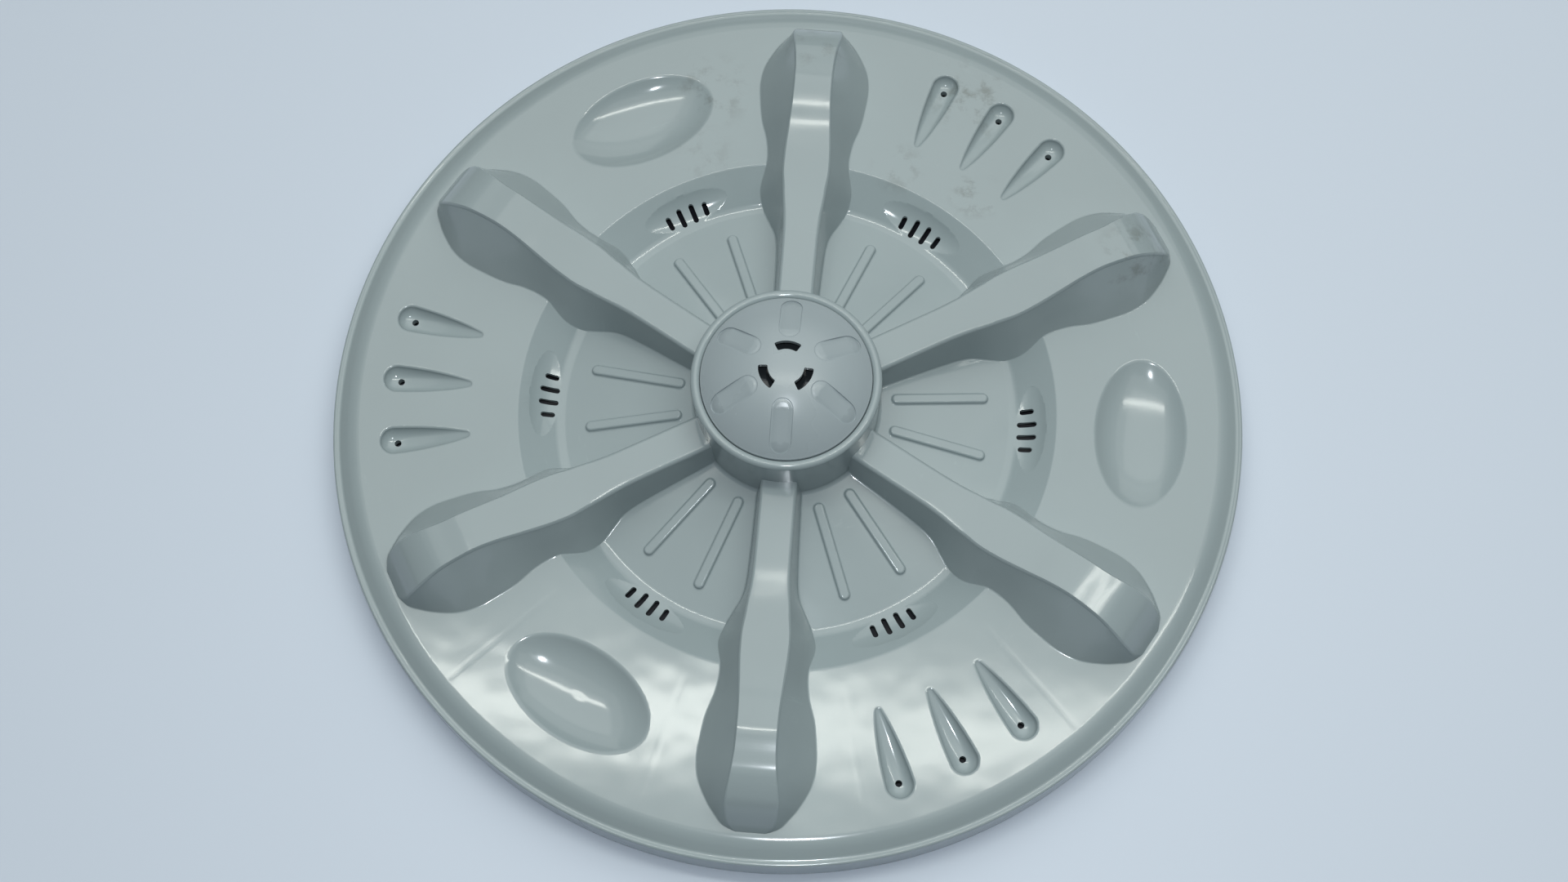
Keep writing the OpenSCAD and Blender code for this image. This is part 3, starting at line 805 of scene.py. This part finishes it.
def cap_profile():
    """Closed profile of the dome, whose lip almost reaches the bead."""
    edge = CAP_EDGE_ROUND
    edge_r = TOWER_IN_R - CAP_SEAT_GAP
    outer = [(edge_r * math.sin(math.radians(a)), 0) for a in np.linspace(0, 90, 40)]
    outer = [(r, dome_z(r)) for r, _ in outer if r < edge_r - edge]
    rim_z = dome_z(edge_r - edge)
    rim = [(edge_r - edge * (1 - math.sin(a)), rim_z - edge * (1 - math.cos(a)) - 0.1 * k)
           for k, a in enumerate(np.linspace(0.3, math.pi / 2, 5))]
    lip_z = rim_z - CAP_LIP_DEPTH
    foot = [(edge_r, lip_z), (CAP_EDGE_R, lip_z - CAP_LIP_RAMP)]
    foot += [(CAP_EDGE_R, DECK_Z), (CAP_EDGE_R - CAP_WALL, DECK_Z)]
    in_r = CAP_R - CAP_WALL
    inner = [(CAP_EDGE_R - CAP_WALL) * k / 16 for k in range(16, -1, -1)]
    return outer + rim + foot + [(r, CAP_MID_Z + math.sqrt(in_r**2 - r**2)) for r in inner]


def slot_side(r, direction):
    """Points along a long side of a cap slot, between its rounded corners."""
    reach = 0.85
    turns = [direction * math.radians(SLOT_HALF_ANGLE) * (k / 6 - 1) * reach for k in range(1, 12)]
    return [(r * math.cos(t), r * math.sin(t)) for t in turns]


def cap_slot():
    """Curved slot with rounded corners, whose middle lies on the x axis."""
    corner = SLOT_CORNER_R
    points = []
    for r, end, first in (
        (SLOT_IN_R, -1, 180), (SLOT_OUT_R, -1, 270), (SLOT_OUT_R, 1, 0), (SLOT_IN_R, 1, 90),
    ):
        out = 1 if r == SLOT_OUT_R else -1
        mid_r = r - out * corner
        mid_a = math.radians(end * SLOT_HALF_ANGLE) - end * corner / mid_r
        for k in range(5):
            t = math.radians(first + 22.5 * k) + mid_a
            points.append((mid_r * math.cos(mid_a) + corner * math.cos(t),
                           mid_r * math.sin(mid_a) + corner * math.sin(t)))
        if (r, end) == (SLOT_OUT_R, -1):
            points += slot_side(r, 1)
    points += slot_side(SLOT_IN_R, -1)
    return prism("cap_slot", points, DECK_Z, CAP_TOP_Z + 5)


def cap_recess():
    """Recess with a bowl-shaped bottom, from rings of a round-ended outline."""
    length = RECESS_OUT_R - RECESS_IN_R
    mid_x = (RECESS_IN_R + RECESS_OUT_R) / 2
    z_in = dome_z(RECESS_IN_R) - RECESS_IN_DEPTH
    z_out = dome_z(RECESS_OUT_R) - RECESS_OUT_DEPTH
    mid_z = (RECESS_IN_R**2 + z_in**2 - RECESS_OUT_R**2 - z_out**2) / (2 * (z_in - z_out))
    bottom_r = math.hypot(RECESS_IN_R, z_in - mid_z)

    def bottom(x, y):
        return mid_z + math.sqrt(bottom_r**2 - x * x - y * y)

    # Distance in from the outline and height above the bottom
    crown = ((4.0, 1), (3.0, 1), (2.1, 0.9), (1.4, 0.5), (0.9, 0.1))
    levels = [(inset, share * RECESS_CROWN) for inset, share in crown] + [(RECESS_FILLET, 0)]
    for a in (30, 60, 90):
        t = math.radians(a)
        levels.append((RECESS_FILLET * (1 - math.sin(t)), RECESS_FILLET * (1 - math.cos(t))))
    rings = []
    for inset, lift in levels:
        outline = slot_outline(length - 2 * inset, 2 * RECESS_HALF_W - 2 * inset)
        rings.append([(x + mid_x, y, bottom(x + mid_x, y) + lift) for x, y in outline])
    rings.append([(x + mid_x, y, CAP_TOP_Z + 2) for x, y in slot_outline(length, 2 * RECESS_HALF_W)])
    return loft("cap_recess", rings)


def build_cap():
    cap = revolve("hub_cap_dome", cap_profile(), 180)
    face_outwards(cap)
    combine(cap, around(cap_slot(), [90, 210, 330]), "DIFFERENCE")
    combine(cap, around(cap_recess(), VANE_ANGLES), "DIFFERENCE")
    return cap


SHARP_DEG = 28


def shade(obj):
    """Smooth shading, apart from edges sharper than SHARP_DEG."""
    mesh = obj.data
    mesh.shade_smooth()
    mesh.set_sharp_from_angle(angle=math.radians(SHARP_DEG))
    mod = obj.modifiers.new("even_shading", "WEIGHTED_NORMAL")
    mod.keep_sharp = True


# Materials
def add_node(tree, kind, settings=None, **inputs):
    """Node of the kind, with settings as properties and inputs as values or links."""
    made = tree.nodes.new("ShaderNode" + kind)
    for key, value in (settings or {}).items():
        setattr(made, key, value)
    for key, value in inputs.items():
        socket = made.inputs[int(key[1:])] if key[0] == "i" and key[1:].isdigit() else made.inputs[key]
        if isinstance(value, bpy.types.NodeSocket):
            tree.links.new(value, socket)
        else:
            socket.default_value = value
    return made


def calc(tree, operation, a, b=0.0, c=0.0):
    return add_node(tree, "Math", {"operation": operation}, i0=a, i1=b, i2=c).outputs[0]


def noise(tree, position, scale, detail=4.0, roughness=0.55):
    made = add_node(
        tree, "TexNoise", Vector=position, Scale=scale, Detail=detail, Roughness=roughness
    )
    return made.outputs["Fac"]


def ramp(tree, value, low, high):
    """0 below low, 1 above high, smooth between."""
    made = add_node(tree, "MapRange", {"interpolation_type": "SMOOTHSTEP"})
    tree.links.new(value, made.inputs["Value"])
    made.inputs["From Min"].default_value = low
    made.inputs["From Max"].default_value = high
    return made.outputs["Result"]


def mixed(tree, share, a, b):
    """Colour between a at share 0 and b at share 1."""
    made = tree.nodes.new("ShaderNodeMix")
    made.data_type = "RGBA"
    sockets = [made.inputs["Factor"], made.inputs[6], made.inputs[7]]
    for socket, value in zip(sockets, (share, a, b)):
        if isinstance(value, bpy.types.NodeSocket):
            tree.links.new(value, socket)
        else:
            socket.default_value = value
    return made.outputs[2]


def linear(srgb):
    """Linear RGBA of an sRGB colour."""
    return [((c + 0.055) / 1.055) ** 2.4 if c > 0.04045 else c / 12.92 for c in srgb] + [1.0]


# Colours, in sRGB
PLATE_COLOUR = (0.60, 0.65, 0.66)
CAP_COLOUR = (0.625, 0.67, 0.685)
# Painted shade for the inside of the hub
HUB_PAINTED_SHADE_COLOUR = (0.10, 0.11, 0.13)
GRIME_TINT = (0.86, 0.84, 0.80)
STEEL_DARK = (0.62, 0.60, 0.56)
STEEL_LIGHT = (0.70, 0.69, 0.66)
FLOOR_PALE = (0.80, 0.84, 0.89)
# Painted shade on the floor under the plate
FLOOR_PAINTED_SHADE = (0.09, 0.10, 0.14)

# Smudges on the plate: place and reach in millimetres, and strength
SMUDGES = [
    ((74, 160, 22), 26, 0.9),
    ((42, 121, 22), 16, 0.6),
    ((78, 110, 22), 15, 0.9),
    ((-48, 154, 22), 24, 0.7),
    ((-49, 121, 22), 18, 0.4),
    ((0, 170, 40), 22, 0.5),
    ((153, 76, 44), 26, 0.8),
]

# The inside of the hub behind the cap's slots, painted near black as shade
HUB_INSIDE_R = TOWER_IN_R - 1.2
HUB_INSIDE_Z = DECK_Z - 0.4

# Faint sink lines in the ring's gloss: half width of the full and of the faded
# line, and the distances from the axis over which they set in, in millimetres
SINK_CORE, SINK_REACH = 0.3, 2.2
SINK_START_R, SINK_FULL_R = 126, 134


def grime_share(tree, place):
    """How much grime covers a point of the plate, from 0 to 1."""
    total = None
    for centre, reach, strength in SMUDGES:
        away = add_node(
            tree, "VectorMath", {"operation": "DISTANCE"}, i0=place, i1=[c * MM for c in centre]
        ).outputs["Value"]
        far = ramp(tree, away, 0.2 * reach * MM, reach * MM)
        near = calc(tree, "MULTIPLY", calc(tree, "SUBTRACT", 1.0, far), strength)
        total = near if total is None else calc(tree, "MAXIMUM", total, near)
    patches = ramp(tree, noise(tree, place, 95.0, 6.0, 0.65), 0.48, 0.66)
    return calc(tree, "MULTIPLY", total, patches)


def hub_painted_shade_share(tree, radius, z):
    """Share of painted shade: 1 inside the tower from the deck upwards, 0 elsewhere."""
    above = ramp(tree, z, HUB_INSIDE_Z * MM, DECK_Z * MM)
    beyond = ramp(tree, radius, HUB_INSIDE_R * MM, TOWER_IN_R * MM)
    return calc(tree, "MULTIPLY", above, calc(tree, "SUBTRACT", 1.0, beyond))


def sink_lines(tree, angle, radius):
    """1 on the ring over the middle of each rib underneath, fading to 0 beside it."""
    pitch = math.radians(RIB_PITCH)
    turn = calc(tree, "MODULO", calc(tree, "ADD", angle, 2 * math.pi - pitch / 2), pitch)
    nearest = calc(tree, "MINIMUM", turn, calc(tree, "SUBTRACT", pitch, turn))
    off = calc(tree, "MULTIPLY", nearest, radius)
    line = calc(tree, "SUBTRACT", 1.0, ramp(tree, off, SINK_CORE * MM, SINK_REACH * MM))
    return calc(tree, "MULTIPLY", line, ramp(tree, radius, SINK_START_R * MM, SINK_FULL_R * MM))


def plastic(name, colour, gloss, wave, soiled_and_shaded):
    """Moulded plastic with faint clouds and scuffs. The grimy one also has sink lines and painted shade
    inside the hub.
    """
    mat = bpy.data.materials.new(name)
    mat.use_nodes = True
    tree = mat.node_tree
    shader = tree.nodes["Principled BSDF"]
    place = add_node(tree, "TexCoord").outputs["Object"]
    split = add_node(tree, "SeparateXYZ", Vector=place)
    x, y, z = split.outputs[0], split.outputs[1], split.outputs[2]
    squares = calc(tree, "ADD", calc(tree, "MULTIPLY", x, x), calc(tree, "MULTIPLY", y, y))
    radius = calc(tree, "SQRT", squares)
    angle = calc(tree, "ARCTAN2", y, x)
    polar = add_node(
        tree, "CombineXYZ",
        X=calc(tree, "MULTIPLY", angle, 0.35), Y=calc(tree, "MULTIPLY", radius, 9.0), Z=z,
    ).outputs[0]

    # Clouds, fine grain, and scuffs that run round the axis
    clouds = ramp(tree, noise(tree, place, 9.0, 5.0), 0.3, 0.7)
    grain = noise(tree, place, 900.0, 2.0)
    arcs = ramp(tree, noise(tree, polar, 26.0, 6.0, 0.7), 0.60, 0.74)
    scuff = calc(tree, "MULTIPLY", arcs, ramp(tree, noise(tree, place, 22.0), 0.45, 0.62))

    light = [min(1.0, 1.05 * c + 0.01) for c in colour]
    paint = mixed(tree, clouds, linear([0.975 * c for c in colour]), linear(colour))
    paint = mixed(tree, calc(tree, "MULTIPLY", scuff, 0.35), paint, linear(light))
    rough = calc(tree, "MULTIPLY_ADD", clouds, 0.04, gloss)
    rough = calc(tree, "MULTIPLY_ADD", scuff, 0.12, rough)
    waves = noise(tree, place, 24.0, 2.0)
    height = calc(tree, "MULTIPLY_ADD", waves, wave, calc(tree, "MULTIPLY", grain, 0.003))
    if soiled_and_shaded:
        grime = grime_share(tree, place)
        grime_colour = [0.86 * c * tint for c, tint in zip(colour, GRIME_TINT)]
        paint = mixed(tree, calc(tree, "MULTIPLY", grime, 0.75), paint, linear(grime_colour))
        # Painted shade: the inside of the hub, seen through the cap's slots, is painted near black
        inside = hub_painted_shade_share(tree, radius, z)
        paint = mixed(tree, calc(tree, "MULTIPLY", inside, 0.93), paint, linear(HUB_PAINTED_SHADE_COLOUR))
        rough = calc(tree, "MULTIPLY_ADD", grime, 0.18, rough)
        height = calc(tree, "MULTIPLY_ADD", sink_lines(tree, angle, radius), -0.02, height)
    tree.links.new(paint, shader.inputs["Base Color"])
    tree.links.new(rough, shader.inputs["Roughness"])
    bump = add_node(tree, "Bump", Strength=1.0, Distance=0.0006, Height=height)
    tree.links.new(bump.outputs["Normal"], shader.inputs["Normal"])
    shader.inputs["IOR"].default_value = 1.5
    return mat


def sintered_steel():
    """Satin metal with fine pores and a few stains."""
    mat = bpy.data.materials.new("insert_metal")
    mat.use_nodes = True
    tree = mat.node_tree
    shader = tree.nodes["Principled BSDF"]
    place = add_node(tree, "TexCoord").outputs["Object"]
    pores = noise(tree, place, 1400.0, 3.0)
    stain = noise(tree, place, 160.0, 5.0)
    paint = mixed(tree, ramp(tree, stain, 0.35, 0.7), linear(STEEL_DARK), linear(STEEL_LIGHT))
    tree.links.new(paint, shader.inputs["Base Color"])
    tree.links.new(calc(tree, "MULTIPLY_ADD", pores, 0.2, 0.32), shader.inputs["Roughness"])
    bump = add_node(tree, "Bump", Strength=0.25, Distance=0.0002, Height=pores)
    tree.links.new(bump.outputs["Normal"], shader.inputs["Normal"])
    shader.inputs["Metallic"].default_value = 1.0
    return mat


plate = build_plate()
plate.data.materials.clear()
plate.data.materials.append(plastic("plate_plastic", PLATE_COLOUR, 0.09, 0.6, True))
shade(plate)
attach(plate, "root")
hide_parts("wash_plate")

cap = build_cap()
cap.data.materials.clear()
cap.data.materials.append(plastic("cap_plastic", CAP_COLOUR, 0.26, 0.12, False))
shade(cap)
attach(cap, "root")
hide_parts("hub_cap")

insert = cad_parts["spline_insert"]
insert.data.materials.clear()
insert.data.materials.append(sintered_steel())

# Floor: pale, with painted shade under the plate, where the slits and holes look down on it
FLOOR_REACH = 6.0
FLOOR_Z = -0.0004
UNDER_PLATE = (0.84 * PLATE_R * MM, 0.95 * PLATE_R * MM)


def floor_paint():
    mat = bpy.data.materials.new("floor")
    mat.use_nodes = True
    tree = mat.node_tree
    shader = tree.nodes["Principled BSDF"]
    place = add_node(tree, "TexCoord").outputs["Object"]
    away = add_node(tree, "VectorMath", {"operation": "LENGTH"}, i0=place).outputs["Value"]
    # Painted shade on the floor under the plate, fading out towards the plate's edge
    paint = mixed(tree, ramp(tree, away, *UNDER_PLATE), linear(FLOOR_PAINTED_SHADE), linear(FLOOR_PALE))
    tree.links.new(paint, shader.inputs["Base Color"])
    shader.inputs["Roughness"].default_value = 0.55
    return mat


floor_mesh = bpy.data.meshes.new("floor")
corners = ((-1, -1), (1, -1), (1, 1), (-1, 1))
floor_mesh.from_pydata([(x * FLOOR_REACH, y * FLOOR_REACH, FLOOR_Z) for x, y in corners], [], [(0, 1, 2, 3)])
floor = bpy.data.objects.new("floor", floor_mesh)
bpy.context.scene.collection.objects.link(floor)
floor_mesh.materials.append(floor_paint())

# Camera, at the photo's angle: place in metres, turn in degrees
CAMERA_PLACE = (0.03461, -0.33267, 0.95421)
CAMERA_TURN = (18.8677, 0.5335, 4.6743)
camera_data = bpy.data.cameras.new("camera")
camera_data.sensor_width = 36.0
camera_data.lens = 51.05
camera_data.clip_start = 0.05
camera = bpy.data.objects.new("camera", camera_data)
camera.location = CAMERA_PLACE
camera.rotation_euler = [math.radians(a) for a in CAMERA_TURN]
bpy.context.scene.collection.objects.link(camera)
bpy.context.scene.camera = camera


def softbox(name, place, target, size, power, colour):
    """Rectangular lamp that faces the target. Metres and watts."""
    lamp = bpy.data.lights.new(name, "AREA")
    lamp.shape = "RECTANGLE"
    lamp.size, lamp.size_y = size
    lamp.energy = power
    lamp.color = colour
    obj = bpy.data.objects.new(name, lamp)
    obj.location = place
    obj.rotation_euler = (Vector(target) - Vector(place)).to_track_quat("-Z", "Y").to_euler()
    bpy.context.scene.collection.objects.link(obj)


# Three ceiling lights one inside another give soft steps in the gloss
CENTRE = (0, 0, 0)
CEILING_COLOUR = (0.98, 1.0, 0.97)
for name, back, size, power in (
    ("ceiling_middle", 0.8, (2.0, 1.7), 9.8),
    ("ceiling", 0.6, (3.0, 2.4), 14.0),
    ("ceiling_wide", 0.5, (4.2, 3.6), 10.0),
):
    softbox(name, (0.1, back, 2.3), CENTRE, size, power, CEILING_COLOUR)
softbox("tube", (0.22, 0.20, 1.72), (0.22, 0, 0), (1.7, 0.08), 5.9, (0.98, 1.0, 0.93))
softbox("back", (0.3, 2.0, 1.5), CENTRE, (2.6, 1.0), 7.0, CEILING_COLOUR)
softbox("flash", (0.03, -0.30, 1.02), CENTRE, (0.04, 0.04), 2.8, (0.88, 0.94, 1.0))

WORLD_COLOUR = (0.86, 0.93, 1.0, 1.0)
world = bpy.data.worlds.new("studio")
world.use_nodes = True
world.node_tree.nodes["Background"].inputs["Color"].default_value = WORLD_COLOUR
world.node_tree.nodes["Background"].inputs["Strength"].default_value = 0.09
bpy.context.scene.world = world
bpy.context.scene.view_settings.view_transform = "Standard"
